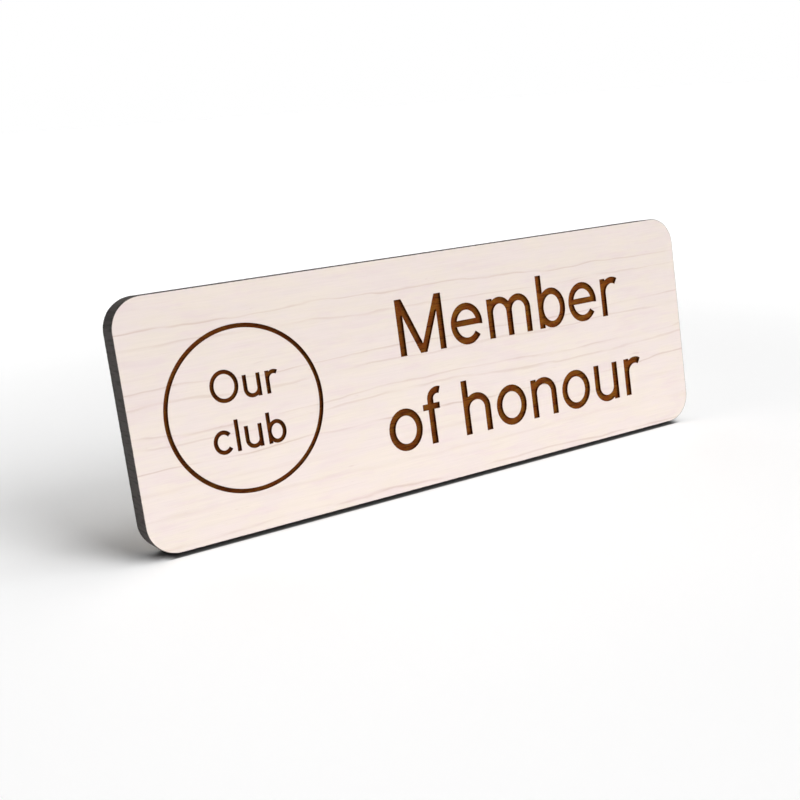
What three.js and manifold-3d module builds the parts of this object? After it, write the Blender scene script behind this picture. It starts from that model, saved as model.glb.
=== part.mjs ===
// A small wooden name plaque for a trophy base, cabinet or shelf. It is cut and engraved by laser
// from a veneered board, and carries two self-adhesive strips with peel-off liners on its back.
//
// Millimetres, +Z up. Every outline is drawn in a flat sheet frame: x along the plaque's length
// from its middle, y up from its bottom edge, z out of the sheet towards the reader. The layers
// are stacked along z, back to front, and one group then stands the stack up, so that the
// engraved face looks to -Y and the origin is the bottom centre of the whole plaque.
import * as THREE from 'three';
import { mergeVertices } from 'three/addons/utils/BufferGeometryUtils.js';
import Module from 'manifold-3d';

const wasm = await Module();
wasm.setup();

// ---------------------------------------------------------------- driving dimensions

const LENGTH = 70;
const HEIGHT = 25;
const CORNER_RADIUS = 3.2;

// The layers' thicknesses are whole 64ths of a millimetre, so their shared planes meet exactly.
const VENEER_THICKNESS = 0.625;
const CORE_THICKNESS = 1.75;
const TAPE_THICKNESS = 0.25;
const LINER_THICKNESS = 0.125;

const STRIP_LENGTH = 60;
const STRIP_WIDTH = 7.5;
const STRIP_EDGE_MARGIN = 3;
const STRIP_CORNER_RADIUS = 0.5;
const LINER_TAB_LENGTH = 2.5;

const ENGRAVING_DEPTH = 0.275;
const RING_CENTRE_X = -23.1;
const RING_RADIUS = 8.4;
const RING_LINE_WIDTH = 0.4;

const LARGE_LETTER_SIZE = 8.4;
const SMALL_LETTER_SIZE = 4.36;
const LETTERING = [
  { text: 'Member', size: LARGE_LETTER_SIZE, centreX: 9.85, baseline: 14.5 },
  { text: 'of honour', size: LARGE_LETTER_SIZE, centreX: 9.85, baseline: 4.5 },
  { text: 'Our', size: SMALL_LETTER_SIZE, centreX: RING_CENTRE_X, baseline: 13.5 },
  { text: 'club', size: SMALL_LETTER_SIZE, centreX: RING_CENTRE_X, baseline: 8.5 },
];

// Each round stretch is drawn in twice this many facets: a board's corner, a letter's bow, the ring.
const CORNER_STEPS = 12;
const BOW_STEPS = 16;
const RING_STEPS = 64;

// ---------------------------------------------------------------- stacking, back to front

const LINER_BACK = 0;
const TAPE_BACK = LINER_BACK + LINER_THICKNESS;
const BACK_VENEER_BACK = TAPE_BACK + TAPE_THICKNESS;
const CORE_BACK = BACK_VENEER_BACK + VENEER_THICKNESS;
const FACE_VENEER_BACK = CORE_BACK + CORE_THICKNESS;
const FRONT = FACE_VENEER_BACK + VENEER_THICKNESS;

const LOWER_STRIP_BOTTOM = STRIP_EDGE_MARGIN;
const UPPER_STRIP_BOTTOM = HEIGHT - STRIP_EDGE_MARGIN - STRIP_WIDTH;

// ---------------------------------------------------------------- outlines and solids

function roundedRectangle(left, bottom, width, height, radius) {
  const right = left + width;
  const top = bottom + height;
  const outline = new THREE.Shape();
  outline.moveTo(left + radius, bottom);
  outline.lineTo(right - radius, bottom);
  outline.absarc(right - radius, bottom + radius, radius, -Math.PI / 2, 0);
  outline.lineTo(right, top - radius);
  outline.absarc(right - radius, top - radius, radius, 0, Math.PI / 2);
  outline.lineTo(left + radius, top);
  outline.absarc(left + radius, top - radius, radius, Math.PI / 2, Math.PI);
  outline.lineTo(left, bottom + radius);
  outline.absarc(left + radius, bottom + radius, radius, Math.PI, Math.PI * 1.5);
  return outline;
}

function sheetGeometry(outline, thickness, steps) {
  return new THREE.ExtrudeGeometry(outline, { depth: thickness, bevelEnabled: false, curveSegments: steps });
}

function toSolid(geometry) {
  const bare = geometry.clone();
  bare.deleteAttribute('normal');
  bare.deleteAttribute('uv');
  const merged = mergeVertices(bare);
  const vertProperties = merged.attributes.position.array;
  const triVerts = new Uint32Array(merged.index.array);
  return new wasm.Manifold(new wasm.Mesh({ numProp: 3, vertProperties, triVerts }));
}

function toGeometry(solid) {
  const mesh = solid.getMesh();
  const geometry = new THREE.BufferGeometry();
  geometry.setAttribute('position', new THREE.BufferAttribute(mesh.vertProperties, 3));
  geometry.setIndex(new THREE.BufferAttribute(mesh.triVerts, 1));
  geometry.computeVertexNormals();
  return geometry;
}

// ---------------------------------------------------------------- the engraver's alphabet
// Plain upright letters of one stroke width, in fractions of the letter size. A stem and a rule
// have level ends, and a bow is part or all of an elliptical band.

const STROKE = 0.086;
const RULE_STROKE = 0.074;
const X_HEIGHT = 0.519;
const CAP_HEIGHT = 0.716;
const OVERSHOOT = 0.012;
const LEFT_STEM = 0.11;
const RIGHT_STEM = 0.444;
const BOW_X = 0.278;
const BOW_Y = X_HEIGHT / 2;
const BOW_RX = 0.201;
const BOW_RY = X_HEIGHT / 2 + OVERSHOOT - STROKE / 2;
const ARCH_RX = (RIGHT_STEM - LEFT_STEM) / 2;
const ARCH_RY = 0.168;
const ARCH_Y = X_HEIGHT + OVERSHOOT - STROKE / 2 - ARCH_RY;
const CUP_Y = X_HEIGHT - ARCH_Y;

function stem(xBottom, bottom, xTop, top) {
  const halfWidth = (STROKE / 2) * Math.hypot(1, (xTop - xBottom) / (top - bottom));
  const outline = new THREE.Shape();
  outline.moveTo(xBottom - halfWidth, bottom);
  outline.lineTo(xBottom + halfWidth, bottom);
  outline.lineTo(xTop + halfWidth, top);
  outline.lineTo(xTop - halfWidth, top);
  return outline;
}

function rule(left, right, y) {
  const outline = new THREE.Shape();
  outline.moveTo(left, y - RULE_STROKE / 2);
  outline.lineTo(right, y - RULE_STROKE / 2);
  outline.lineTo(right, y + RULE_STROKE / 2);
  outline.lineTo(left, y + RULE_STROKE / 2);
  return outline;
}

function closedBow(x, y, rx, ry) {
  const half = STROKE / 2;
  const outline = new THREE.Shape();
  outline.absellipse(x, y, rx + half, ry + half, 0, Math.PI * 2);
  const counter = new THREE.Path();
  counter.absellipse(x, y, rx - half, ry - half, 0, Math.PI * 2);
  outline.holes.push(counter);
  return outline;
}

function openBow(x, y, rx, ry, fromDegrees, toDegrees) {
  const half = STROKE / 2;
  const from = THREE.MathUtils.degToRad(fromDegrees);
  const to = THREE.MathUtils.degToRad(toDegrees);
  const outline = new THREE.Shape();
  outline.absellipse(x, y, rx + half, ry + half, from, to);
  outline.absellipse(x, y, rx - half, ry - half, to, from, true);
  return outline;
}

const arch = (x, rx) => openBow(x, ARCH_Y, rx, ARCH_RY, 0, 180);

const ALPHABET = {
  ' ': { advance: 0.278, strokes: [] },
  M: {
    advance: 0.833,
    strokes: [
      stem(0.117, 0, 0.117, CAP_HEIGHT),
      stem(0.4165, 0, 0.122, CAP_HEIGHT),
      stem(0.4165, 0, 0.711, CAP_HEIGHT),
      stem(0.716, 0, 0.716, CAP_HEIGHT),
    ],
  },
  O: { advance: 0.778, strokes: [closedBow(0.389, CAP_HEIGHT / 2, 0.294, CAP_HEIGHT / 2 + OVERSHOOT - STROKE / 2)] },
  b: { advance: 0.556, strokes: [stem(LEFT_STEM, 0, LEFT_STEM, CAP_HEIGHT), closedBow(0.295, BOW_Y, 0.185, BOW_RY)] },
  c: { advance: 0.5, strokes: [openBow(0.265, BOW_Y, 0.196, BOW_RY, 42, 320)] },
  e: { advance: 0.556, strokes: [openBow(BOW_X, BOW_Y, BOW_RX, BOW_RY, -6, 322), rule(0.08, 0.5, 0.2745)] },
  f: {
    advance: 0.278,
    strokes: [
      stem(0.132, 0, 0.132, 0.575),
      openBow(0.247, 0.575, 0.115, CAP_HEIGHT + OVERSHOOT - STROKE / 2 - 0.575, 72, 180),
      rule(0.012, 0.262, X_HEIGHT - RULE_STROKE / 2),
    ],
  },
  h: {
    advance: 0.556,
    strokes: [stem(LEFT_STEM, 0, LEFT_STEM, CAP_HEIGHT), arch(0.277, ARCH_RX), stem(RIGHT_STEM, 0, RIGHT_STEM, ARCH_Y)],
  },
  l: { advance: 0.222, strokes: [stem(0.111, 0, 0.111, CAP_HEIGHT)] },
  m: {
    advance: 0.833,
    strokes: [
      stem(LEFT_STEM, 0, LEFT_STEM, X_HEIGHT),
      arch(0.2635, 0.1535),
      stem(0.417, 0, 0.417, ARCH_Y),
      arch(0.5705, 0.1535),
      stem(0.724, 0, 0.724, ARCH_Y),
    ],
  },
  n: {
    advance: 0.556,
    strokes: [stem(LEFT_STEM, 0, LEFT_STEM, X_HEIGHT), arch(0.277, ARCH_RX), stem(RIGHT_STEM, 0, RIGHT_STEM, ARCH_Y)],
  },
  o: { advance: 0.556, strokes: [closedBow(BOW_X, BOW_Y, BOW_RX, BOW_RY)] },
  r: { advance: 0.333, strokes: [stem(LEFT_STEM, 0, LEFT_STEM, X_HEIGHT), openBow(0.27, ARCH_Y, 0.16, ARCH_RY, 60, 180)] },
  u: {
    advance: 0.556,
    strokes: [
      stem(LEFT_STEM, CUP_Y, LEFT_STEM, X_HEIGHT),
      openBow(0.277, CUP_Y, ARCH_RX, ARCH_RY, 180, 360),
      stem(RIGHT_STEM, 0, RIGHT_STEM, X_HEIGHT),
    ],
  },
};

// ---------------------------------------------------------------- engraving cutters

const CUTTER_LENGTH = ENGRAVING_DEPTH * 2;
const POCKET_FLOOR = VENEER_THICKNESS - ENGRAVING_DEPTH;

function strokeCutter(outline, size, x, y) {
  const geometry = sheetGeometry(outline, CUTTER_LENGTH / size, BOW_STEPS);
  geometry.scale(size, size, size);
  geometry.translate(x, y, POCKET_FLOOR);
  return toSolid(geometry);
}

function lineCutters({ text, size, centreX, baseline }) {
  const letters = [...text].map((letter) => ALPHABET[letter]);
  const width = size * letters.reduce((sum, letter) => sum + letter.advance, 0);
  const cutters = [];
  let x = centreX - width / 2;
  for (const letter of letters) {
    cutters.push(...letter.strokes.map((outline) => strokeCutter(outline, size, x, baseline)));
    x += size * letter.advance;
  }
  return cutters;
}

function ringCutter() {
  const outline = new THREE.Shape();
  outline.absarc(RING_CENTRE_X, HEIGHT / 2, RING_RADIUS, 0, Math.PI * 2);
  const inside = new THREE.Path();
  inside.absarc(RING_CENTRE_X, HEIGHT / 2, RING_RADIUS - RING_LINE_WIDTH, 0, Math.PI * 2);
  outline.holes.push(inside);
  const geometry = sheetGeometry(outline, CUTTER_LENGTH, RING_STEPS);
  geometry.translate(0, 0, POCKET_FLOOR);
  return toSolid(geometry);
}

// ---------------------------------------------------------------- sub-parts

const boardOutline = roundedRectangle(-LENGTH / 2, 0, LENGTH, HEIGHT, CORNER_RADIUS);
const boardLayer = (thickness) => sheetGeometry(boardOutline, thickness, CORNER_STEPS);

function engravedVeneer() {
  const cutters = [ringCutter(), ...LETTERING.flatMap(lineCutters)];
  const engraving = cutters.reduce((joined, cutter) => joined.add(cutter));
  return toGeometry(toSolid(boardLayer(VENEER_THICKNESS)).subtract(engraving));
}

function strip(bottom, length, thickness) {
  const left = -STRIP_LENGTH / 2;
  const outline = roundedRectangle(left, bottom, length, STRIP_WIDTH, STRIP_CORNER_RADIUS);
  return sheetGeometry(outline, thickness, CORNER_STEPS / 2);
}

const tape = (bottom) => strip(bottom, STRIP_LENGTH, TAPE_THICKNESS);
const liner = (bottom) => strip(bottom, STRIP_LENGTH + LINER_TAB_LENGTH, LINER_THICKNESS);

// ---------------------------------------------------------------- materials

const matte = (color, roughness) => new THREE.MeshStandardMaterial({ color, roughness, metalness: 0 });

// ---------------------------------------------------------------- assembly

const plaque = new THREE.Group();
plaque.rotation.x = Math.PI / 2;
plaque.position.y = FRONT / 2;

function place(name, geometry, material, back) {
  const mesh = new THREE.Mesh(geometry, material);
  mesh.name = name;
  mesh.position.z = back;
  plaque.add(mesh);
}

place('face_veneer', engravedVeneer(), matte(0xf2e4dc, 0.6), FACE_VENEER_BACK);
place('core_board', boardLayer(CORE_THICKNESS), matte(0x4a423d, 0.85), CORE_BACK);
place('back_veneer', boardLayer(VENEER_THICKNESS), matte(0xe8d8c8, 0.65), BACK_VENEER_BACK);
place('adhesive_strip_upper', tape(UPPER_STRIP_BOTTOM), matte(0xd9d4c6, 0.5), TAPE_BACK);
place('adhesive_strip_lower', tape(LOWER_STRIP_BOTTOM), matte(0xd9d4c6, 0.5), TAPE_BACK);
place('release_liner_upper', liner(UPPER_STRIP_BOTTOM), matte(0xf4f1e6, 0.35), LINER_BACK);
place('release_liner_lower', liner(LOWER_STRIP_BOTTOM), matte(0xf4f1e6, 0.35), LINER_BACK);

const model = new THREE.Group();
model.add(plaque);

export default model;
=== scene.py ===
"""A small engraved wooden plaque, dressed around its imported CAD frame.

The plaque is a laser-cut board: a maple face veneer with a burnt engraving, a fibreboard core
with a charred edge and a maple back veneer, with two adhesive strips and their peel-off liners
behind. Everything is in metres, in the frame's own axes: +X along the plaque, -Y out of its
engraved face and +Z up. Lengths that end in _mm are in millimetres.
"""

import logging
import math
from collections.abc import Iterable
from dataclasses import dataclass, field
from enum import Enum, IntEnum
from typing import ClassVar

import bmesh
import bpy
from mathutils import Matrix, Quaternion, Vector, noise


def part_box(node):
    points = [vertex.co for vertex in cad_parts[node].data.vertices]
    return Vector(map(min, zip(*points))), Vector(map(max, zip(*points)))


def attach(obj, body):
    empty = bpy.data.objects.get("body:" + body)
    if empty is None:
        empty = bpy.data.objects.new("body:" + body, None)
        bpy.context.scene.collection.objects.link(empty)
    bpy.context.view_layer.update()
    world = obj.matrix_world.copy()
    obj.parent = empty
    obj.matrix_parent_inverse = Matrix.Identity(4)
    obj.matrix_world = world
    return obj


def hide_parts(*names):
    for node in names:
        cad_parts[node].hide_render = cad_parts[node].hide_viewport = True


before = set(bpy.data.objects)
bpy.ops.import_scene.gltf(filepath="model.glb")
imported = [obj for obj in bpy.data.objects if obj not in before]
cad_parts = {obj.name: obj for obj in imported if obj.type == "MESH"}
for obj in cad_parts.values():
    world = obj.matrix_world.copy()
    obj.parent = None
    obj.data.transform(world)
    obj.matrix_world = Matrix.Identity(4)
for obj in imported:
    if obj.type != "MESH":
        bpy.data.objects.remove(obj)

LOG = logging.getLogger("plaque")
BODY = "root"
MM = 0.001
WELD = 1e-7
FLATNESS = math.radians(0.2)
CREASE = math.radians(13)
NEAR = WELD * 10
SQUARE_EDGE = 1.0
RIM_BAND = 0.1 * MM
ROWS_PER_LINE = 2
WIDE_NOISE = (0.2, 0.8)
USUAL_NOISE = (0.3, 0.7)
WHITE = (1.0, 1.0, 1.0, 1.0)

Colour = tuple[float, float, float]
Triple = tuple[float, float, float]
Socket = bpy.types.NodeSocket
Input = float | Triple | Socket


class Skin(IntEnum):
    """A surface of a board layer, by the number of its material slot."""

    FACE = 0
    RIM = 1
    POCKET_FLOOR = 2
    POCKET_WALL = 3
    POCKET_LIP = 4


class Blend(Enum):
    """How two colours are combined."""

    MIX = "MIX"
    MULTIPLY = "MULTIPLY"


class Sum(Enum):
    """An operation on two numbers."""

    ADD = "ADD"
    SUBTRACT = "SUBTRACT"
    MULTIPLY = "MULTIPLY"
    DIVIDE = "DIVIDE"


# --------------------------------------------------------------------------- shader graphs


def srgb(red: int, green: int, blue: int) -> Colour:
    """Turn an 8-bit display colour into linear light.

    Args:
        red: Red, 0 to 255.
        green: Green, 0 to 255.
        blue: Blue, 0 to 255.

    Returns:
        The linear colour.
    """

    def channel(value: int) -> float:
        """Decode one channel."""
        part = value / 255
        return part / 12.92 if part <= 0.04045 else ((part + 0.055) / 1.055) ** 2.4

    return channel(red), channel(green), channel(blue)


@dataclass(frozen=True)
class Pattern:
    """A smooth noise pattern in an object's own coordinates, and how much of it shows.

    Attributes:
        feature_mm: The length of one feature along X, Y and Z.
        detail: How many finer octaves it has.
        roughness: How strong the finer octaves are.
        warp: How far it is pulled out of shape.
        shift: An offset that picks another part of the pattern.
        low: The noise value up to which it is faint.
        high: The noise value from which it is full.
        faint: Its weight where it is faint.
        full: Its weight where it is full.
    """

    feature_mm: Triple
    detail: float = 2.0
    roughness: float = 0.5
    warp: float = 0.0
    shift: float = 0.0
    low: float = 0.0
    high: float = 1.0
    faint: float = 0.0
    full: float = 1.0


class Graph:
    """One material's node tree, with a short method for each kind of node."""

    def __init__(self, name: str, **constants: Input) -> None:
        """Start a material with one Principled shader.

        Args:
            name: The material's name.
            constants: Shader inputs that are the same all over, by name with underscores.
        """
        self.material = bpy.data.materials.new(name)
        self.material.use_nodes = True
        self.tree = self.material.node_tree
        self.shader = self.tree.nodes["Principled BSDF"]
        for key, value in constants.items():
            self.shader.inputs[key.replace("_", " ")].default_value = value

    def node(self, kind: str, inputs: dict[str | int, Input], **settings: str) -> bpy.types.Node:
        """Add a node.

        Args:
            kind: The node's type name without the ShaderNode prefix.
            inputs: Sockets or constants by input name or index.
            settings: The node's own options.

        Returns:
            The new node.
        """
        made = self.tree.nodes.new("ShaderNode" + kind)
        for key, value in settings.items():
            setattr(made, key, value)
        for key, value in inputs.items():
            if isinstance(value, Socket):
                self.tree.links.new(value, made.inputs[key])
            else:
                made.inputs[key].default_value = value
        return made

    def place(self, feature_mm: Triple, shift: float = 0.0, tilt: float = 0.0) -> Socket:
        """Give object coordinates, each axis divided by the length of a feature along it.

        Args:
            feature_mm: The feature's length along X, Y and Z, in millimetres.
            shift: An offset that picks another part of the pattern.
            tilt: A turn of the pattern about Y, in degrees.

        Returns:
            The mapped vector.
        """
        coords = self.node("TexCoord", {}).outputs["Object"]
        if tilt:
            turn = {"Vector": coords, "Rotation": (0.0, math.radians(tilt), 0.0)}
            coords = self.node("Mapping", turn).outputs["Vector"]
        scale = tuple(1 / (MM * length) for length in feature_mm)
        mapping = {"Vector": coords, "Location": (shift, shift, shift), "Scale": scale}
        return self.node("Mapping", mapping).outputs["Vector"]

    def noise(self, pattern: Pattern, seed: float = 0.0, tilt: float = 0.0) -> Socket:
        """Give a pattern's noise.

        Args:
            pattern: The pattern.
            seed: An offset on top of the pattern's own.
            tilt: A turn of the pattern about Y, in degrees.

        Returns:
            The noise, between 0 and 1.
        """
        inputs = {
            "Vector": self.place(pattern.feature_mm, pattern.shift + seed, tilt), "Scale": 1.0,
            "Detail": pattern.detail, "Roughness": pattern.roughness, "Distortion": pattern.warp,
        }
        return self.node("TexNoise", inputs).outputs["Fac"]

    def layer(self, pattern: Pattern, seed: float = 0.0, tilt: float = 0.0) -> Socket:
        """Give how much of a pattern shows.

        Args:
            pattern: The pattern.
            seed: An offset on top of the pattern's own.
            tilt: A turn of the pattern about Y, in degrees.

        Returns:
            Its weight, from faint to full.
        """
        noise_value = self.noise(pattern, seed, tilt)
        return self.span(noise_value, pattern.low, pattern.high, pattern.faint, pattern.full)

    def calc(self, operation: Sum, first: Input, second: Input) -> Socket:
        """Combine two numbers."""
        return self.node("Math", {0: first, 1: second}, operation=operation.value).outputs[0]

    def sine(self, value: Socket) -> Socket:
        """Give the sine of a number of whole turns."""
        turns = self.calc(Sum.MULTIPLY, value, math.tau)
        return self.node("Math", {0: turns}, operation="SINE").outputs[0]

    def span(
        self, value: Socket, low: float, high: float, to_low: float = 0.0, to_high: float = 1.0
    ) -> Socket:
        """Map low..high smoothly to another range, held at its ends."""
        inputs = {"Value": value, "From Min": low, "From Max": high, "To Min": to_low, "To Max": to_high}
        return self.node("MapRange", inputs, interpolation_type="SMOOTHSTEP").outputs["Result"]

    def spread(self, noise_value: Socket, to_low: float, to_high: float) -> Socket:
        """Spread the range that noise mostly lies in over another one."""
        return self.span(noise_value, *USUAL_NOISE, to_low, to_high)

    def grey(self, value: Socket) -> Socket:
        """Turn a number into a grey colour."""
        return self.node("CombineColor", {0: value, 1: value, 2: value}).outputs[0]

    def mix(
        self, factor: Input, first: Colour | Socket, second: Colour | Socket, blend: Blend = Blend.MIX
    ) -> Socket:
        """Blend two colours.

        Args:
            factor: How much of the second colour shows, 0 to 1.
            first: The first colour.
            second: The second colour.
            blend: How they are combined.

        Returns:
            The blended colour.
        """
        made = self.node("Mix", {"Factor": factor}, data_type="RGBA", blend_type=blend.value)
        for socket, value in zip(made.inputs[6:8], (first, second)):
            if isinstance(value, Socket):
                self.tree.links.new(value, socket)
            else:
                socket.default_value = (*value, 1.0)
        return made.outputs[2]

    def ramp(self, value: Socket, stops: Iterable[tuple[float, float]]) -> Socket:
        """Give a level along a row of stops.

        Args:
            value: Where along the row, 0 to 1.
            stops: Each stop's place and level, in order.

        Returns:
            The level.
        """
        made = self.node("ValToRGB", {0: value})
        elements = made.color_ramp.elements
        while len(elements) > 1:
            elements.remove(elements[-1])
        for index, (position, level) in enumerate(stops):
            element = elements[0] if index == 0 else elements.new(position)
            element.position = position
            element.color = (level, level, level, 1.0)
        return made.outputs["Color"]

    def split(self, vector: Socket, axis: str) -> Socket:
        """Give one axis of a vector."""
        return self.node("SeparateXYZ", {0: vector}).outputs[axis]

    def finish(
        self, colour: Socket, roughness: Socket, height: Socket, depth_mm: float
    ) -> bpy.types.Material:
        """Connect the shader.

        Args:
            colour: Base colour.
            roughness: Roughness.
            height: Relief, 0 to 1.
            depth_mm: The relief's full depth.

        Returns:
            The finished material.
        """
        bump = self.node("Bump", {"Height": height, "Distance": depth_mm * MM, "Strength": 1.0})
        self.tree.links.new(colour, self.shader.inputs["Base Color"])
        self.tree.links.new(roughness, self.shader.inputs["Roughness"])
        self.tree.links.new(bump.outputs["Normal"], self.shader.inputs["Normal"])
        return self.material


# --------------------------------------------------------------------------- finishes


@dataclass(frozen=True)
class GrowthLine:
    """One growth line along a veneer.

    Attributes:
        height_mm: Height above the plaque's bottom edge.
        depth: How dark it is, 0 to 1.
        half_width_mm: Half of its width.
    """

    height_mm: float
    depth: float
    half_width_mm: float


@dataclass(frozen=True)
class MapleFinish:
    """Pale sanded maple: narrow wavy growth lines, fine fibres, faint pink and cream mottling, and painted
    shade that darkens it towards the top.

    Attributes:
        name: The material's name.
        pale: The wood between the lines.
        cream: The wood's yellower patches.
        pink: The wood's pinker patches.
        line: The colour of a growth line at full depth.
        lines: The growth lines, from the bottom up.
        height_mm: The board's height.
        painted_top_shade: How light the painted shade leaves the wood at the top, against 1 at the bottom.
        painted_shade_span: Where the painted shade starts and stops getting darker, as parts of the height.
        drift_mm: How far the lines wander up and down over a long way.
        ripple_mm: How far they ripple over a short way.
        fibre_tones: How light the darkest and the lightest fibres are.
        roughnesses: The roughness of the darkest and the lightest fibres.
        pore_depth: How dark a pore is, 0 to 1.
        relief_mm: The depth of the fibres' relief.
        slope: The grain's tilt against the board's length, in degrees.
        seed: Picks another part of every pattern.
    """

    name: str
    pale: Colour
    cream: Colour
    pink: Colour
    line: Colour
    lines: tuple[GrowthLine, ...]
    height_mm: float
    painted_top_shade: float = 0.905
    painted_shade_span: tuple[float, float] = (0.05, 0.95)
    drift_mm: float = 0.5
    ripple_mm: float = 0.2
    fibre_tones: tuple[float, float] = (0.972, 1.012)
    roughnesses: tuple[float, float] = (0.52, 0.68)
    pore_depth: float = 0.08
    relief_mm: float = 0.01
    slope: float = 0.0
    seed: float = 0.0

    PORE_RELIEF: ClassVar[float] = 0.5
    WANDER: ClassVar[Pattern] = Pattern((26, 40, 8), detail=1.0)
    RIPPLE: ClassVar[Pattern] = Pattern((6.5, 20, 1.6), roughness=0.55, shift=5)
    FADE: ClassVar[Pattern] = Pattern(
        (8, 20, 1.4), detail=3.0, shift=9, low=0.34, high=0.6, faint=0.12
    )
    STREAKS: ClassVar[Pattern] = Pattern(
        (11, 20, 0.34), roughness=0.55, warp=0.1, shift=13, low=0.6, high=0.76, full=0.07
    )
    PATCHES: ClassVar[Pattern] = Pattern(
        (4, 8, 1.5), detail=3.0, roughness=0.55, shift=2, low=0.36, high=0.64
    )
    BLUSH: ClassVar[Pattern] = Pattern(
        (6, 20, 1.3), detail=3.0, roughness=0.6, shift=7, low=0.5, high=0.7, full=0.8
    )
    FLECKS: ClassVar[Pattern] = Pattern(
        (2.4, 20, 0.5), detail=3.0, roughness=0.6, warp=0.4, shift=17, low=0.68, high=0.8, full=0.35
    )
    FIBRES: ClassVar[Pattern] = Pattern((4.5, 4.5, 0.13), detail=3.0, roughness=0.65, warp=0.1, shift=3)
    PORES: ClassVar[Pattern] = Pattern((1.3, 1.3, 0.08), detail=1.0, shift=4, low=0.68, high=0.78)

    def peaks(self) -> list[tuple[float, float]]:
        """Give the growth lines as peaks along the board's height, for a ramp."""
        stops = [(0.0, 0.0)]
        for line in self.lines:
            half = line.half_width_mm
            for offset, level in ((-half, 0.0), (0.0, line.depth), (half, 0.0)):
                stops.append(((line.height_mm + offset) / self.height_mm, level))
        return stops

    def growth(self, graph: Graph) -> Socket:
        """Give the growth lines' darkness.

        Args:
            graph: The material's graph.

        Returns:
            The darkness, 0 to 1.
        """
        height = graph.split(graph.place((1, 1, 1), tilt=self.slope), "Z")
        sways = [
            graph.span(graph.noise(pattern, self.seed), *WIDE_NOISE, -reach, reach)
            for pattern, reach in ((self.WANDER, self.drift_mm), (self.RIPPLE, self.ripple_mm))
        ]
        swayed = graph.calc(Sum.ADD, height, graph.calc(Sum.ADD, *sways))
        across = graph.calc(Sum.DIVIDE, swayed, self.height_mm)
        fade = graph.layer(self.FADE, self.seed)
        lines = graph.calc(Sum.MULTIPLY, graph.ramp(across, self.peaks()), fade)
        return graph.calc(Sum.ADD, lines, graph.layer(self.STREAKS, self.seed, self.slope))

    def material(self) -> bpy.types.Material:
        """Build the material."""
        graph = Graph(self.name, Specular_IOR_Level=0.3, Coat_Weight=0.05, Coat_Roughness=0.5)
        fibres = graph.noise(self.FIBRES, self.seed, self.slope)
        pores = graph.layer(self.PORES, self.seed)
        height = graph.split(graph.place((self.height_mm,) * 3), "Z")
        # The fibres' tones, and painted shade that darkens the wood towards its top.
        fibre_and_painted_shade_tones = (
            graph.spread(fibres, *self.fibre_tones),
            graph.span(height, *self.painted_shade_span, 1.0, self.painted_top_shade),
        )
        colour = graph.mix(graph.layer(self.PATCHES, self.seed), self.pale, self.cream)
        colour = graph.mix(graph.layer(self.BLUSH, self.seed), colour, self.pink)
        for tone in fibre_and_painted_shade_tones:
            colour = graph.mix(1.0, colour, graph.grey(tone), Blend.MULTIPLY)
        colour = graph.mix(graph.calc(Sum.MULTIPLY, pores, self.pore_depth), colour, self.line)
        colour = graph.mix(graph.layer(self.FLECKS, self.seed), colour, self.line)
        colour = graph.mix(self.growth(graph), colour, self.line)
        relief = graph.calc(Sum.SUBTRACT, fibres, graph.calc(Sum.MULTIPLY, pores, self.PORE_RELIEF))
        return graph.finish(colour, graph.spread(fibres, *self.roughnesses), relief, self.relief_mm)


@dataclass(frozen=True)
class BurntFinish:
    """Wood burnt away by the engraver: brown, with darker and redder streaks along the grain.

    Attributes:
        name: The material's name.
        brown: The usual brown.
        dark: The darkest streaks.
        red: The redder blotches.
        amber: The lightest, more olive patches.
        scan_mm: The spacing of the laser's scan lines.
        scan_depth: How dark a scan line is, 0 to 1.
        left_darkening: How much darker it is towards the plaque's left, 0 to 1.
        left_darkening_from_mm: Where along X the darkening begins to fade.
        left_darkening_to_mm: Where it's gone.
        roughnesses: The roughness of the smoothest and the grittiest parts.
        relief_mm: The depth of its relief.
    """

    name: str
    brown: Colour
    dark: Colour
    red: Colour
    amber: Colour
    scan_mm: float
    scan_depth: float = 0.16
    left_darkening: float = 0.5
    left_darkening_from_mm: float = -20.0
    left_darkening_to_mm: float = 20.0
    roughnesses: tuple[float, float] = (0.62, 0.85)
    relief_mm: float = 0.015

    STREAK_RELIEF: ClassVar[float] = 0.6
    STREAKS: ClassVar[Pattern] = Pattern(
        (1.8, 1.8, 0.22), detail=4.0, roughness=0.6, warp=0.3, low=0.47, high=0.71, full=0.85
    )
    BLOTCHES: ClassVar[Pattern] = Pattern(
        (1, 1, 1.2), detail=3.0, roughness=0.55, shift=4, low=0.4, high=0.64
    )
    EMBERS: ClassVar[Pattern] = Pattern((0.8, 0.8, 0.7), shift=11, low=0.52, high=0.7, full=0.6)
    GRIT: ClassVar[Pattern] = Pattern((0.08, 0.08, 0.05), shift=8)

    def material(self) -> bpy.types.Material:
        """Build the material."""
        graph = Graph(self.name, Specular_IOR_Level=0.08)
        grit = graph.noise(self.GRIT)
        scan = graph.sine(graph.split(graph.place((1, 1, self.scan_mm)), "Z"))
        along = graph.split(graph.place((1, 1, 1)), "X")
        # Darker towards the plaque's left.
        left_darkening = graph.span(along, self.left_darkening_from_mm, self.left_darkening_to_mm, self.left_darkening, 0.0)
        colour = graph.mix(graph.layer(self.BLOTCHES), self.brown, self.amber)
        colour = graph.mix(graph.layer(self.EMBERS), colour, self.red)
        scanned = graph.span(scan, -1.0, 1.0, 0.0, self.scan_depth)
        for darkness in (left_darkening, graph.layer(self.STREAKS), scanned):
            colour = graph.mix(darkness, colour, self.dark)
        streaks = graph.calc(Sum.MULTIPLY, graph.noise(self.STREAKS), self.STREAK_RELIEF)
        relief = graph.calc(Sum.ADD, streaks, grit)
        return graph.finish(colour, graph.spread(grit, *self.roughnesses), relief, self.relief_mm)


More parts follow.
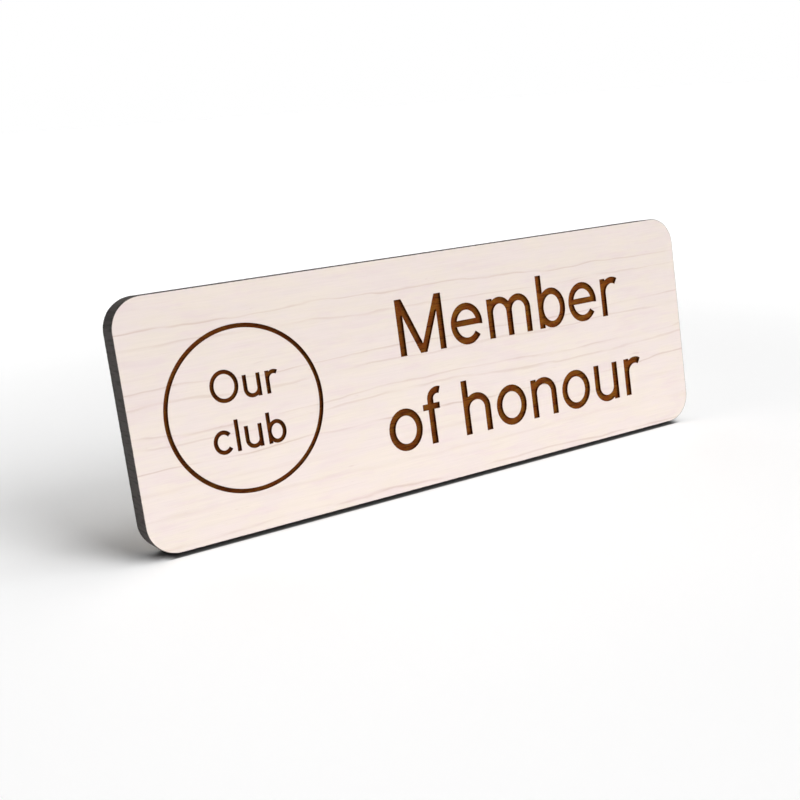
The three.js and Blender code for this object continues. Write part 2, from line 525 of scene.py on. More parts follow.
@dataclass(frozen=True)
class CharredFinish:
    """A laser-cut edge: charred dark, with fine striations through the thickness, dusty ash and painted
    contact shade along its bottom.

    Attributes:
        name: The material's name.
        soot_and_painted_shadow: The usual dark grey-brown of the char.
        black: The darkest striations, and the painted contact shade along the edge that the board stands
            on.
        ash: The palest dusty patches.
        height_mm: The board's height; the rim is a little lighter towards its bottom.
        bottom_lightening: How much of the ash colour shows at the bottom, 0 to 1.
        bottom_lightening_span: Where it starts to fade and where it's gone, as parts of the height.
        painted_contact_shade: How far the edge that the board stands on is painted black as contact shade,
            0 to 1.
        painted_contact_shade_span: Where that painted shade starts to fade and where it's gone, as parts of
            the height.
        roughnesses: The roughness of the sootiest and the dustiest parts.
        relief_mm: The depth of its relief.
    """

    name: str
    soot_and_painted_shadow: Colour
    black: Colour
    ash: Colour
    height_mm: float
    bottom_lightening: float = 0.45
    bottom_lightening_span: tuple[float, float] = (0.1, 0.7)
    painted_contact_shade: float = 0.9
    painted_contact_shade_span: tuple[float, float] = (0.008, 0.03)
    roughnesses: tuple[float, float] = (0.72, 0.9)
    relief_mm: float = 0.02

    FIBRE_RELIEF: ClassVar[float] = 0.4
    CUTS: ClassVar[Pattern] = Pattern(
        (0.28, 3, 0.28), detail=3.0, roughness=0.55, low=0.46, high=0.72, full=0.55
    )
    DUST: ClassVar[Pattern] = Pattern(
        (1.6, 0.9, 1.6), detail=4.0, roughness=0.6, shift=3, low=0.4, high=0.68, full=0.6
    )
    FIBRES: ClassVar[Pattern] = Pattern((0.7, 0.12, 0.7), shift=6, low=0.52, high=0.75, full=0.25)

    def material(self) -> bpy.types.Material:
        """Build the material."""
        graph = Graph(self.name, Specular_IOR_Level=0.25)
        height = graph.split(graph.place((self.height_mm,) * 3), "Z")
        # Lighter towards the board's bottom, where more of the ash colour shows.
        lighter_below = graph.span(height, *self.bottom_lightening_span, self.bottom_lightening, 0.0)
        # Painted contact shade: the rim is blackened along the edge that the board stands on.
        painted_contact_shade = graph.span(height, *self.painted_contact_shade_span, self.painted_contact_shade, 0.0)
        colour = graph.mix(lighter_below, self.soot_and_painted_shadow, self.ash)
        for pattern, tint in ((self.DUST, self.ash), (self.CUTS, self.black), (self.FIBRES, self.ash)):
            colour = graph.mix(graph.layer(pattern), colour, tint)
        colour = graph.mix(painted_contact_shade, colour, self.black)
        fibres = graph.calc(Sum.MULTIPLY, graph.noise(self.FIBRES), self.FIBRE_RELIEF)
        relief = graph.calc(Sum.ADD, graph.noise(self.CUTS), fibres)
        rough = graph.spread(graph.noise(self.DUST), *self.roughnesses)
        return graph.finish(colour, rough, relief, self.relief_mm)


@dataclass(frozen=True)
class SheetFinish:
    """A slim manufactured sheet, adhesive or paper, with faint clouds and fibres.

    Attributes:
        name: The material's name.
        base: The usual colour.
        shade: The colour of the darker clouds and fibres.
        free: The colour where nothing lies under the sheet.
        free_from_mm: Where along X nothing lies under it any more.
        roughnesses: The roughness between the clouds and in them.
        relief_mm: The depth of its texture.
        cloud_mm: The size of a cloud.
        free_fade_mm: Half the width over which the free part's colour comes in.
    """

    name: str
    base: Colour
    shade: Colour
    free: Colour
    free_from_mm: float
    roughnesses: tuple[float, float]
    relief_mm: float
    cloud_mm: float
    free_fade_mm: float = 0.1

    GRIT_RELIEF: ClassVar[float] = 0.3
    FIBRES: ClassVar[Pattern] = Pattern(
        (1.1, 0.4, 0.3), detail=3.0, roughness=0.6, warp=0.8, shift=5, low=0.52, high=0.75, full=0.35
    )
    GRIT: ClassVar[Pattern] = Pattern((0.09, 0.09, 0.09), shift=2)

    def material(self) -> bpy.types.Material:
        """Build the material."""
        graph = Graph(self.name, Specular_IOR_Level=0.45, Coat_Weight=0.12, Coat_Roughness=0.3)
        cloudy = Pattern((self.cloud_mm,) * 3, detail=4.0, roughness=0.6, low=0.35, high=0.7, full=0.6)
        along = graph.split(graph.place((1, 1, 1)), "X")
        fade = self.free_fade_mm
        free = graph.span(along, self.free_from_mm - fade, self.free_from_mm + fade)
        colour = graph.mix(free, self.base, self.free)
        for pattern in (cloudy, self.FIBRES):
            colour = graph.mix(graph.layer(pattern), colour, self.shade)
        grit = graph.calc(Sum.MULTIPLY, graph.noise(self.GRIT), self.GRIT_RELIEF)
        relief = graph.calc(Sum.ADD, grit, graph.noise(self.FIBRES))
        rough = graph.spread(graph.noise(cloudy), *self.roughnesses)
        return graph.finish(colour, rough, relief, self.relief_mm)


# --------------------------------------------------------------------------- mesh helpers


@dataclass(frozen=True)
class Outline:
    """A rectangle with round corners in the XZ plane, in metres.

    Attributes:
        low: The lowest corner of its box.
        high: The highest corner.
        radius: The corners' radius.
    """

    low: Vector
    high: Vector
    radius: float

    def outward(self, point: Vector) -> Vector:
        """Give how a point lies outside the rectangle of the corners' centres.

        Args:
            point: The point.

        Returns:
            The vector from that rectangle to the point, as long as the radius on the outline.
        """
        x = min(max(point.x, self.low.x + self.radius), self.high.x - self.radius)
        z = min(max(point.z, self.low.z + self.radius), self.high.z - self.radius)
        return Vector((point.x - x, 0.0, point.z - z))

    def margin(self, point: Vector) -> float:
        """Give how far inside the outline a point near it is."""
        return self.radius - self.outward(point).length


def node_copy(node: str) -> bmesh.types.BMesh:
    """Copy a CAD node's mesh, merge its loose triangles and join the coplanar ones.

    Args:
        node: The CAD node.

    Returns:
        The merged copy.
    """
    mesh = bmesh.new()
    mesh.from_mesh(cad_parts[node].data)
    bmesh.ops.remove_doubles(mesh, verts=mesh.verts, dist=WELD)
    bmesh.ops.dissolve_limit(mesh, angle_limit=FLATNESS, verts=mesh.verts, edges=mesh.edges)
    return mesh


def slab(outline: Outline, front: float, back: float, corner_steps: int) -> bmesh.types.BMesh:
    """Make a flat slab with round corners.

    Args:
        outline: Its outline.
        front: The Y of its front.
        back: The Y of its back.
        corner_steps: Facets round each corner.

    Returns:
        The slab.
    """
    mesh = bmesh.new()
    bmesh.ops.create_cube(mesh, size=1.0)
    low = Vector((outline.low.x, front, outline.low.z))
    high = Vector((outline.high.x, back, outline.high.z))
    bmesh.ops.scale(mesh, vec=high - low, verts=mesh.verts)
    bmesh.ops.translate(mesh, vec=(high + low) / 2, verts=mesh.verts)
    corners = [edge for edge in mesh.edges if abs(edge.verts[0].co.y - edge.verts[1].co.y) > WELD]
    bmesh.ops.bevel(
        mesh, geom=corners, offset=outline.radius, offset_type="OFFSET", segments=corner_steps,
        profile=0.5, affect="EDGES", material=-1,
    )
    bmesh.ops.recalc_face_normals(mesh, faces=mesh.faces)
    return mesh


def divide_rim(mesh: bmesh.types.BMesh, outline: Outline, step: float, reach: float) -> None:
    """Divide the straight stretches of a rim into short steps.

    Args:
        mesh: A mesh whose rim follows the outline.
        outline: The outline.
        step: The length of a step.
        reach: How far inside the outline an edge still belongs to the rim.
    """
    span = outline.high - outline.low
    for along, length in (("x", span.x), ("z", span.z)):
        rim = []
        for edge in mesh.edges:
            middle = (edge.verts[0].co + edge.verts[1].co) / 2
            reached = abs(getattr(edge.verts[0].co - edge.verts[1].co, along))
            if reached > length / 2 and outline.margin(middle) < reach:
                rim.append(edge)
        cuts = round((length - 2 * outline.radius) / step) - 1
        bmesh.ops.subdivide_edges(mesh, edges=rim, cuts=cuts, use_grid_fill=True)


def lies_flat(part: bmesh.types.BMFace) -> bool:
    """Tell whether a face looks along the board's thickness."""
    return abs(part.normal.y) > 0.5


def bevel(
    mesh: bmesh.types.BMesh, edges: list[bmesh.types.BMEdge], width: float, segments: int
) -> list[bmesh.types.BMFace]:
    """Round some edges.

    Args:
        mesh: The mesh.
        edges: The edges.
        width: The bevel's width.
        segments: Its facets.

    Returns:
        The new faces.
    """
    return bmesh.ops.bevel(
        mesh, geom=edges, offset=width, offset_type="OFFSET", segments=segments,
        profile=0.5, affect="EDGES", material=-1, clamp_overlap=False,
    )["faces"]


def shade(mesh: bmesh.types.BMesh) -> None:
    """Shade a mesh smoothly, with every edge past the crease angle sharp."""
    for face in mesh.faces:
        face.smooth = True
    for edge in mesh.edges:
        edge.smooth = len(edge.link_faces) == 2 and edge.calc_face_angle(math.pi) < CREASE


def as_piece(
    mesh: bmesh.types.BMesh, name: str, node: str, materials: Iterable[bpy.types.Material]
) -> bpy.types.Object:
    """Turn a finished mesh into a piece that stands for a CAD node.

    Args:
        mesh: The mesh, which is freed.
        name: The piece's name.
        node: The CAD node that it replaces.
        materials: The materials, in slot order.

    Returns:
        The piece.
    """
    shade(mesh)
    data = bpy.data.meshes.new(name)
    mesh.to_mesh(data)
    mesh.free()
    for material in materials:
        data.materials.append(material)
    piece = bpy.data.objects.new(name, data)
    bpy.context.scene.collection.objects.link(piece)
    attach(piece, BODY)
    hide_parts(node)
    LOG.info("%s: %d faces, stands for %s", name, len(data.polygons), node)
    return piece


# --------------------------------------------------------------------------- the board


@dataclass(frozen=True)
class LaserCut:
    """What the laser leaves on the rim of the board: fine grooves through its whole thickness.

    The grooves depend on the place along the outline only, so they run on from layer to layer.

    Attributes:
        outline: The board's outline.
        step_mm: The spacing of the rim's facets.
        groove_mm: The deepest groove.
        spacing_mm: The usual distance between grooves.
        reach_mm: How far in from the outline the rim is worked.
    """

    outline: Outline
    step_mm: float = 0.25
    groove_mm: float = 0.035
    spacing_mm: float = 0.5
    reach_mm: float = 0.12

    def work(self, mesh: bmesh.types.BMesh) -> None:
        """Divide a layer's rim and groove it."""
        reach = self.reach_mm * MM
        divide_rim(mesh, self.outline, self.step_mm * MM, reach)
        for vert in mesh.verts:
            if self.outline.margin(vert.co) < reach:
                along = Vector((vert.co.x, 0.0, vert.co.z)) / (self.spacing_mm * MM)
                depth = self.groove_mm * MM * (0.5 + 0.5 * noise.noise(along))
                vert.co -= self.outline.outward(vert.co).normalized() * depth


@dataclass
class FaceVeneer:
    """The maple face with its engraving.

    Attributes:
        cut: The laser-cut rim.
        materials: One for each Skin, in order.
        lip_mm: The rounding round each pocket.
        arris_mm: The rounding round the face.
        scan_mm: The spacing of the laser's scan lines on the pockets' floors.
        scan_depth_mm: The depth of a scan line.
        burn_mm: How unevenly the floors are burnt.
        burn_patch_mm: The size of a patch that is burnt deeper.
        node: The CAD node that it stands for.
        low: The lowest corner of the node's box.
        high: The highest corner.
    """

    cut: LaserCut
    materials: tuple[bpy.types.Material, ...]
    lip_mm: float = 0.03
    arris_mm: float = 0.07
    scan_mm: float = 0.25
    scan_depth_mm: float = 0.022
    burn_mm: float = 0.03
    burn_patch_mm: float = 0.9
    node: str = "face_veneer"
    low: Vector = field(init=False)
    high: Vector = field(init=False)

    def build(self) -> bpy.types.Object:
        """Make the piece."""
        self.low, self.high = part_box(self.node)
        mesh = node_copy(self.node)
        for part in mesh.faces:
            part.material_index = self.skin_of(part)
        self.round_edges(mesh)
        self.cut.work(mesh)
        self.scan(mesh)
        return as_piece(mesh, "engraved_face", self.node, self.materials)

    def skin_of(self, part: bmesh.types.BMFace) -> Skin:
        """Tell which surface a face belongs to, from where it looks and lies."""
        centre = part.calc_center_median()
        if lies_flat(part):
            on_skin = min(centre.y - self.low.y, self.high.y - centre.y) < NEAR
            return Skin.FACE if on_skin else Skin.POCKET_FLOOR
        return Skin.RIM if self.cut.outline.margin(centre) < RIM_BAND else Skin.POCKET_WALL

    def round_edges(self, mesh: bmesh.types.BMesh) -> None:
        """Round the face's outer arris and each pocket's lip."""
        arris, lips = [], []
        for edge in mesh.edges:
            skins = {part.material_index for part in edge.link_faces}
            in_front = max(vert.co.y for vert in edge.verts) < self.low.y + NEAR
            if in_front and skins == {Skin.FACE, Skin.RIM}:
                arris.append(edge)
            elif in_front and skins == {Skin.FACE, Skin.POCKET_WALL}:
                lips.append(edge)
        for part in bevel(mesh, lips, self.lip_mm * MM, 2):
            part.material_index = Skin.POCKET_LIP
        arris = [edge for edge in arris if edge.is_valid]
        for part in bevel(mesh, arris, self.arris_mm * MM, 2):
            part.material_index = Skin.RIM

    def scan(self, mesh: bmesh.types.BMesh) -> None:
        """Scan the pockets' floors in level lines, as the engraver does, and burn them unevenly."""
        rows = int((self.high.z - self.low.z) / (self.scan_mm * MM) * ROWS_PER_LINE)
        for row in range(1, rows):
            height = self.low.z + row * self.scan_mm * MM / ROWS_PER_LINE
            floors = [part for part in mesh.faces if self.crosses(part, height)]
            verts = {vert for part in floors for vert in part.verts}
            edges = {edge for part in floors for edge in part.edges}
            bmesh.ops.bisect_plane(
                mesh, geom=[*verts, *edges, *floors], dist=WELD, plane_co=(0, 0, height), plane_no=(0, 0, 1)
            )
        floors = [part for part in mesh.faces if part.material_index == Skin.POCKET_FLOOR]
        for vert in {vert for part in floors for vert in part.verts}:
            turns = (vert.co.z - self.low.z) / (self.scan_mm * MM)
            line = 0.5 - 0.5 * math.cos(math.tau * turns)
            burn = noise.noise(vert.co / (self.burn_patch_mm * MM))
            vert.co.y += (self.scan_depth_mm * line + self.burn_mm * 0.5 * burn) * MM

    def crosses(self, part: bmesh.types.BMFace, height: float) -> bool:
        """Tell whether a face is a pocket's floor that a level line crosses."""
        if part.material_index != Skin.POCKET_FLOOR:
            return False
        heights = [vert.co.z for vert in part.verts]
        return min(heights) < height - WELD and max(heights) > height + WELD


@dataclass
class BoardLayer:
    """A plain layer of the board: the fibreboard core or the back veneer.

    Attributes:
        node: The CAD node that it stands for.
        name: The piece's name.
        slot: The record's material slot; not used.
        cut: The laser-cut rim.
        materials: The face's and the rim's.
        arris_mm: The rounding of the rim's edges, which leaves a hairline seam between layers.
        corner_steps: Facets round each corner.
    """

    node: str
    name: str
    slot: str
    cut: LaserCut
    materials: tuple[bpy.types.Material, ...]
    arris_mm: float
    corner_steps: int = 24

    def build(self) -> bpy.types.Object:
        """Make the piece."""
        low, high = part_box(self.node)
        mesh = slab(self.cut.outline, low.y, high.y, self.corner_steps)
        for part in mesh.faces:
            part.material_index = Skin.FACE if lies_flat(part) else Skin.RIM
        arris = []
        for edge in mesh.edges:
            if {part.material_index for part in edge.link_faces} == {Skin.FACE, Skin.RIM}:
                arris.append(edge)
        for part in bevel(mesh, arris, self.arris_mm * MM, 2):
            part.material_index = Skin.RIM
        self.cut.work(mesh)
        return as_piece(mesh, self.name, self.node, self.materials)


# --------------------------------------------------------------------------- the fastening


@dataclass
class AdhesiveStrip:
    """A strip of adhesive tape, its cut edge squeezed out a little between its two sides.

    Attributes:
        node: The CAD node that it stands for.
        name: The piece's name.
        material: The adhesive.
        corner_mm: The corners' radius.
        bulge_mm: How far the middle of the edge stands out.
        waver_mm: How far the edge strays from straight.
        waver_length_mm: The length over which it strays.
        step_mm: The spacing of the edge's facets.
        rows: Facets across the edge.
        corner_steps: Facets round each corner.
    """

    node: str
    name: str
    material: bpy.types.Material
    corner_mm: float = 0.5
    bulge_mm: float = 0.05
    waver_mm: float = 0.04
    waver_length_mm: float = 2.5
    step_mm: float = 0.5
    rows: int = 4
    corner_steps: int = 6

    def build(self) -> bpy.types.Object:
        """Make the piece."""
        low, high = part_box(self.node)
        outline = Outline(low, high, self.corner_mm * MM)
        mesh = slab(outline, low.y, high.y, self.corner_steps)
        divide_rim(mesh, outline, self.step_mm * MM, NEAR)
        across = [edge for edge in mesh.edges if abs(edge.verts[0].co.y - edge.verts[1].co.y) > WELD]
        bmesh.ops.subdivide_edges(mesh, edges=across, cuts=self.rows - 1, use_grid_fill=True)
        middle, half = (low.y + high.y) / 2, (high.y - low.y) / 2
        for vert in mesh.verts:
            out = outline.outward(vert.co).normalized()
            swell = 1 - ((vert.co.y - middle) / half) ** 2
            stray = noise.noise(Vector((vert.co.x, 0.0, vert.co.z)) / (self.waver_length_mm * MM))
            vert.co += out * MM * (self.bulge_mm * swell - self.waver_mm * (0.5 + 0.5 * stray))
        return as_piece(mesh, self.name, self.node, (self.material,))


@dataclass
class ReleaseLiner:
    """A strip's peel-off liner, with a finger tab past the tape's end.

    Attributes:
        node: The CAD node that it stands for.
        tape: The node of the strip that it covers.
        name: The piece's name.
        material: The liner paper.
        corner_mm: The corners' radius.
        corner_steps: Facets round each corner.
        step_mm: The size of the sheet's facets.
        arris_mm: The rounding of its edges.
        buckle_mm: How much it lies unevenly over the tape.
        buckle_length_mm: The length of a buckle.
        curl_mm: How far the end of the tab lifts.
        tuck_mm: How far its edge strays inwards, as cut.
        tuck_length_mm: The length over which it strays.
    """

    node: str
    tape: str
    name: str
    material: bpy.types.Material
    corner_mm: float = 0.5
    corner_steps: int = 6
    step_mm: float = 0.6
    arris_mm: float = 0.02
    buckle_mm: float = 0.02
    buckle_length_mm: float = 6.0
    curl_mm: float = 0.06
    tuck_mm: float = 0.03
    tuck_length_mm: float = 4.0

    def build(self) -> bpy.types.Object:
        """Make the piece."""
        low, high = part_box(self.node)
        tape_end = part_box(self.tape)[1].x
        outline = Outline(low, high, self.corner_mm * MM)
        mesh = slab(outline, low.y, high.y, self.corner_steps)
        arris = [edge for edge in mesh.edges if edge.calc_face_angle(0.0) > SQUARE_EDGE]
        bevel(mesh, arris, self.arris_mm * MM, 1)
        self.grid(mesh, low, high)
        for vert in mesh.verts:
            flat = Vector((vert.co.x, 0.0, vert.co.z))
            if outline.margin(vert.co) < RIM_BAND:
                stray = 0.5 + 0.5 * noise.noise(flat / (self.tuck_length_mm * MM))
                vert.co -= outline.outward(vert.co).normalized() * self.tuck_mm * MM * stray
            free = max(0.0, vert.co.x - tape_end) / (high.x - tape_end)
            buckle = 0.5 + 0.5 * noise.noise(flat / (self.buckle_length_mm * MM))
            lift = self.curl_mm * free**2 - self.buckle_mm * buckle * (1 - free)
            vert.co.y += lift * MM if vert.co.y > (low.y + high.y) / 2 or free > 0 else 0.0
        return as_piece(mesh, self.name, self.node, (self.material,))

    def grid(self, mesh: bmesh.types.BMesh, low: Vector, high: Vector) -> None:
        """Cut the sheet into short facets along both of its sides."""
        for axis, start, end in ((Vector((1, 0, 0)), low.x, high.x), (Vector((0, 0, 1)), low.z, high.z)):
            steps = round((end - start) / (self.step_mm * MM))
            for index in range(1, steps):
                at = axis * (start + (end - start) * index / steps)
                geometry = [*mesh.verts, *mesh.edges, *mesh.faces]
                bmesh.ops.bisect_plane(mesh, geom=geometry, dist=WELD, plane_co=at, plane_no=axis)


# --------------------------------------------------------------------------- the studio


def skyward(azimuth: float, elevation: float) -> Vector:
    """Give the unit vector towards a place in the sky.

    Args:
        azimuth: Its turn from straight in front of the plaque towards +X, in degrees.
        elevation: Its height above the ground, in degrees.

    Returns:
        The vector.
    """
    turn, rise = math.radians(azimuth), math.radians(elevation)
    return Vector((math.sin(turn) * math.cos(rise), -math.cos(turn) * math.cos(rise), math.sin(rise)))


@dataclass(frozen=True)
class Softlight:
    """A broad distant light.

    Attributes:
        name: The light's name.
        elevation: Its height above the floor, in degrees.
        azimuth: Its turn from straight in front of the plaque towards +X, in degrees.
        strength: In watts per square metre.
    """

    name: str
    elevation: float
    azimuth: float
    strength: float


@dataclass
class Studio:
    """The plain floor with its painted contact shadow, the soft lights and the camera.

    The plaque leans back as it stands. The frame keeps it upright, so here the floor leans
    forward under it instead, and the lights lean with the floor. The camera's place and angles
    are in the plaque's own axes.

    Attributes:
        lean: How far the plaque leans back from the floor's upright, in degrees.
        eye_mm: The camera's place.
        azimuth: The camera's turn about Z, in degrees; 0 looks along +Y.
        elevation: How far the camera looks down, in degrees.
        roll: The camera's turn about its own view, in degrees.
        focal_length: In millimetres, on a sensor of sensor_width.
        sensor_width: In millimetres.
        clip: The nearest and the farthest that the camera sees, in metres.
        floor_reach: How far the floor reaches each way, in metres.
        paper_tones: How light the floor's darkest and lightest clouds are.
        paper_roughnesses: The roughness of those clouds.
        paper_relief_mm: The depth of the floor's relief.
        softness: The lights' width in the sky, in degrees.
        fill: The strength of the even light from all round.
        sky: How bright the plain backdrop looks.
        glow: How much the floor glows far from the plaque, like a lit sweep.
        glow_from_mm: How far from the plaque the glow starts.
        glow_full_mm: Where it's full.
        soot_and_painted_shadow: The colour of the painted shadow on the floor under the board, which
            deepens the contact line.
        painted_shadow_half_length_mm: Half the painted shadow's length.
        painted_shadow_fade_mm: Half the length over which each of its ends fades.
        painted_shadow_depth: How much of that colour shows, 0 to 1.
        painted_shadow_front_mm: Where it starts and is full, inwards from the board's front edge.
        painted_shadow_back_mm: Where it starts and is full, inwards from the board's back edge.
        lights: The soft lights.
    """

    lean: float = 8.0
    eye_mm: Triple = (-61.93, -102.68, 27.25)
    azimuth: float = -29.054
    elevation: float = 8.499
    roll: float = -7.818
    focal_length: float = 49.39
    sensor_width: float = 36.0
    clip: tuple[float, float] = (0.005, 20.0)
    floor_reach: float = 4.0
    paper_tones: tuple[float, float] = (0.94, 0.96)
    paper_roughnesses: tuple[float, float] = (0.7, 0.8)
    paper_relief_mm: float = 0.01
    softness: float = 35.0
    fill: float = 0.08
    sky: float = 1.0
    glow: float = 0.2
    glow_from_mm: float = 65.0
    glow_full_mm: float = 170.0
    # A dark grey painted on the floor under the board as contact shadow.
    soot_and_painted_shadow: Colour = srgb(72, 68, 66)
    painted_shadow_half_length_mm: float = 33.0
    painted_shadow_fade_mm: float = 0.8
    painted_shadow_depth: float = 0.92
    painted_shadow_front_mm: tuple[float, float] = (-0.1, 0.2)
    painted_shadow_back_mm: tuple[float, float] = (-0.1, 0.1)
    lights: tuple[Softlight, ...] = (
        Softlight("front", 30, 30, 2.25),
        Softlight("key", 50, 60, 1.08),
        Softlight("right", 70, 90, 0.72),
        Softlight("back", 50, 180, 0.4),
    )

    CLOUDS: ClassVar[Pattern] = Pattern((60, 60, 60))

    def build(self) -> None:
        """Make the whole set."""
        self.camera()
        self.floor()
        for light in self.lights:
            self.softlight(light)
        self.backdrop()
        bpy.context.scene.view_settings.view_transform = "Standard"

    def backdrop(self) -> None:
        """Make the world: a faint even light, seen as a plain white backdrop."""
        world = bpy.data.worlds.new("studio")
        world.use_nodes = True
        nodes, links = world.node_tree.nodes, world.node_tree.links
        background = nodes["Background"]
        background.inputs["Color"].default_value = WHITE
        brightness = nodes.new("ShaderNodeMapRange")
        brightness.inputs["To Min"].default_value = self.fill
        brightness.inputs["To Max"].default_value = self.sky
        links.new(nodes.new("ShaderNodeLightPath").outputs["Is Camera Ray"], brightness.inputs["Value"])
        links.new(brightness.outputs["Result"], background.inputs["Strength"])
        bpy.context.scene.world = world

    def footing(self) -> Matrix:
        """Give the floor's own frame: it meets the board's back lower edge and leans about it."""
        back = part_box("back_veneer")[1].y
        return Matrix.Translation((0, back, 0)) @ Matrix.Rotation(math.radians(self.lean), 4, "X")

    def camera(self) -> None:
        """Make the camera."""
        data = bpy.data.cameras.new("camera")
        data.sensor_width = self.sensor_width
        data.lens = self.focal_length
        data.clip_start, data.clip_end = self.clip
        camera = bpy.data.objects.new("camera", data)
        forward = -skyward(self.azimuth, self.elevation)
        camera.rotation_mode = "QUATERNION"
        roll = Quaternion((0, 0, 1), math.radians(self.roll))
        camera.rotation_quaternion = forward.to_track_quat("-Z", "Y") @ roll
        camera.location = Vector(self.eye_mm) * MM
        bpy.context.scene.collection.objects.link(camera)
        bpy.context.scene.camera = camera

    def floor(self) -> None:
        """Make the floor."""
        mesh = bmesh.new()
        bmesh.ops.create_grid(mesh, x_segments=2, y_segments=2, size=self.floor_reach)
        bmesh.ops.transform(mesh, matrix=self.footing(), verts=mesh.verts)
        data = bpy.data.meshes.new("floor")
        mesh.to_mesh(data)
        mesh.free()
        data.materials.append(self.floor_paper())
        floor = bpy.data.objects.new("floor", data)
        bpy.context.scene.collection.objects.link(floor)

    def floor_paper(self) -> bpy.types.Material:
        """Make the floor's white paper, with its painted contact shadow and its far glow."""
        graph = Graph("floor_paper", Specular_IOR_Level=0.2, Emission_Color=WHITE)
        clouds = graph.noise(self.CLOUDS)
        dark, light = ((tone,) * 3 for tone in self.paper_tones)
        colour = graph.mix(clouds, dark, light)
        # Painted contact shadow: the floor is darkened in a strip under the board.
        colour = graph.mix(self.painted_contact_shadow(graph), colour, self.soot_and_painted_shadow)
        away = graph.node("VectorMath", {0: graph.place((1, 1, 1))}, operation="LENGTH").outputs["Value"]
        glow = graph.span(away, self.glow_from_mm, self.glow_full_mm, 0.0, self.glow)
        graph.tree.links.new(glow, graph.shader.inputs["Emission Strength"])
        rough = graph.span(clouds, 0.0, 1.0, *self.paper_roughnesses)
        return graph.finish(colour, rough, clouds, self.paper_relief_mm)

    def painted_contact_shadow(self, graph: Graph) -> Socket:
        """Give the painted contact shadow on the floor, right under the board.

        Args:
            graph: The floor's graph.

        Returns:
            The painted shadow's darkness, 0 to 1.
        """
        front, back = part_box("face_veneer")[0].y / MM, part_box("back_veneer")[1].y / MM
        place = graph.place((1, 1, 1))
        across, along = graph.split(place, "Y"), graph.split(place, "X")
        along = graph.node("Math", {0: along}, operation="ABSOLUTE").outputs[0]
        fade = self.painted_shadow_fade_mm
        painted_shadow_mask = graph.span(along, self.painted_shadow_half_length_mm - fade, self.painted_shadow_half_length_mm + fade, self.painted_shadow_depth, 0.0)
        sides = ((front, 1, self.painted_shadow_front_mm), (back, -1, self.painted_shadow_back_mm))
        for edge, inwards, (starts, full) in sides:
            start, end = edge + inwards * starts, edge + inwards * full
            depth = graph.calc(Sum.DIVIDE, graph.calc(Sum.SUBTRACT, across, start), end - start)
            painted_shadow_mask = graph.calc(Sum.MULTIPLY, painted_shadow_mask, graph.span(depth, 0.0, 1.0))
        return painted_shadow_mask

    def softlight(self, light: Softlight) -> None:
        """Make one of the soft lights."""
        data = bpy.data.lights.new(light.name, "SUN")
        data.angle = math.radians(self.softness)
        data.energy = light.strength
        made = bpy.data.objects.new(light.name, data)
        towards = skyward(light.azimuth, light.elevation)
        made.rotation_mode = "QUATERNION"
        made.rotation_quaternion = (self.footing().to_3x3() @ -towards).to_track_quat("-Z", "Y")
        bpy.context.scene.collection.objects.link(made)


# --------------------------------------------------------------------------- the plaque


FACE_LINES = (
    GrowthLine(0.6, 0.46, 0.14),
    GrowthLine(3.4, 0.14, 0.3),
    GrowthLine(5.9, 0.12, 0.35),
    GrowthLine(8.3, 0.54, 0.12),
    GrowthLine(10.7, 0.52, 0.1),
    GrowthLine(11.5, 0.46, 0.1),
    GrowthLine(14.4, 0.4, 0.12),
    GrowthLine(15.8, 0.55, 0.1),
    GrowthLine(19.8, 0.42, 0.1),
    GrowthLine(21.4, 0.54, 0.1),
)

BACK_LINES = (
    GrowthLine(1.9, 0.5, 0.2),
    GrowthLine(2.8, 0.35, 0.12),
    GrowthLine(6.2, 0.3, 0.3),
    GrowthLine(9.4, 0.6, 0.16),
    GrowthLine(12.1, 0.55, 0.14),
    GrowthLine(13.3, 0.4, 0.2),
    GrowthLine(17.5, 0.5, 0.16),
    GrowthLine(20.2, 0.3, 0.3),
    GrowthLine(23.1, 0.6, 0.16),
)


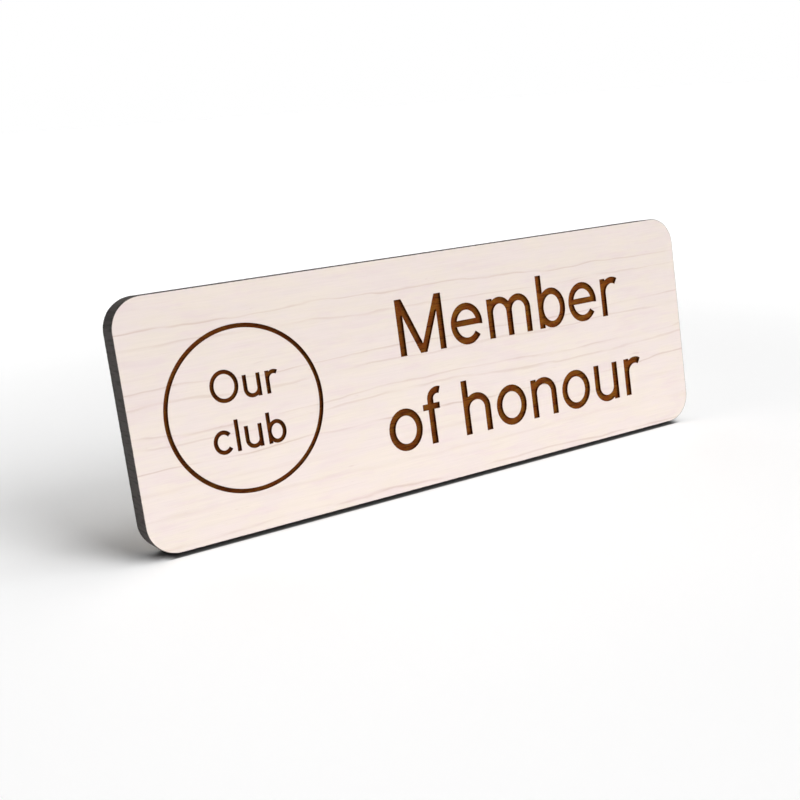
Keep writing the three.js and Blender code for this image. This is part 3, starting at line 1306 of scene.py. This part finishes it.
@dataclass
class Plaque:
    """The whole plaque.

    Attributes:
        corner_mm: The radius of the board's corners.
        scan_mm: The spacing of the engraver's scan lines.
        height_mm: The board's height.
        cut: The laser-cut rim, which runs on from layer to layer.
        charred: The rim's finish.
    """

    corner_mm: float = 3.2
    scan_mm: float = 0.25
    height_mm: float = field(init=False)
    cut: LaserCut = field(init=False)
    charred: bpy.types.Material = field(init=False)

    def build(self) -> list[bpy.types.Object]:
        """Make every piece, front to back."""
        low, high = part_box("core_board")
        self.height_mm = (high.z - low.z) / MM
        self.cut = LaserCut(Outline(low, high, self.corner_mm * MM))
        self.charred = CharredFinish(
            "charred_edge", srgb(79, 74, 72), srgb(36, 32, 30), srgb(98, 92, 88), self.height_mm
        ).material()
        pieces = [self.face(), self.core(), self.back()]
        pieces += self.fastening()
        return pieces

    def face(self) -> bpy.types.Object:
        """Make the engraved face veneer."""
        maple = MapleFinish(
            "sanded_maple", pale=srgb(224, 211, 206), cream=srgb(225, 213, 203),
            pink=srgb(222, 206, 204), line=srgb(180, 148, 132),
            lines=FACE_LINES, height_mm=self.height_mm,
        )
        floor = BurntFinish(
            "burnt_floor", brown=srgb(124, 63, 11), dark=srgb(70, 26, 2),
            red=srgb(108, 41, 6), amber=srgb(130, 79, 17), scan_mm=self.scan_mm,
        )
        wall = BurntFinish(
            "burnt_wall", brown=srgb(84, 40, 7), dark=srgb(46, 18, 2),
            red=srgb(76, 29, 5), amber=srgb(100, 60, 14), scan_mm=self.scan_mm,
        )
        lip = BurntFinish(
            "toasted_lip", brown=srgb(136, 84, 42), dark=srgb(84, 44, 18),
            red=srgb(128, 68, 36), amber=srgb(158, 110, 62), scan_mm=self.scan_mm,
        )
        skins = (maple.material(), self.charred, floor.material(), wall.material(), lip.material())
        return FaceVeneer(self.cut, skins, scan_mm=self.scan_mm).build()

    def core(self) -> bpy.types.Object:
        """Make the fibreboard core."""
        skins = (self.charred, self.charred)
        return BoardLayer(
            "core_board", "charred_core", "charred_core", self.cut, skins, arris_mm=0.02
        ).build()

    def back(self) -> bpy.types.Object:
        """Make the back veneer."""
        maple = MapleFinish(
            "bare_maple", pale=srgb(226, 208, 190), cream=srgb(230, 214, 192),
            pink=srgb(220, 196, 180), line=srgb(166, 134, 112),
            lines=BACK_LINES, height_mm=self.height_mm,
            # Painted shade darkens the back towards its top, less than the face.
            painted_top_shade=0.96, drift_mm=1.2, slope=1.2, seed=31.0,
        )
        skins = (maple.material(), self.charred)
        return BoardLayer(
            "back_veneer", "balancing_back", "back_maple", self.cut, skins, arris_mm=0.07
        ).build()

    def fastening(self) -> list[bpy.types.Object]:
        """Make the two adhesive strips and their liners."""
        end_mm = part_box("adhesive_strip_upper")[1].x / MM
        adhesive = SheetFinish(
            "adhesive", base=srgb(216, 210, 194), shade=srgb(190, 182, 164),
            free=srgb(216, 210, 194), free_from_mm=end_mm,
            roughnesses=(0.36, 0.5), relief_mm=0.01, cloud_mm=2.4,
        ).material()
        paper = SheetFinish(
            "liner_paper", base=srgb(245, 241, 228), shade=srgb(232, 225, 206),
            free=srgb(250, 247, 238), free_from_mm=end_mm,
            roughnesses=(0.32, 0.46), relief_mm=0.006, cloud_mm=7.0,
        ).material()
        pieces = []
        for level in ("upper", "lower"):
            tape, liner = f"adhesive_strip_{level}", f"release_liner_{level}"
            pieces.append(AdhesiveStrip(tape, f"tape_{level}", adhesive).build())
            pieces.append(ReleaseLiner(liner, tape, f"liner_{level}", paper).build())
        return pieces


def main() -> None:
    """Build the studio and the plaque."""
    logging.basicConfig(level=logging.INFO, format="%(message)s")
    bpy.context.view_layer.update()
    Studio().build()
    pieces = Plaque().build()


if __name__ == "__main__":
    main()
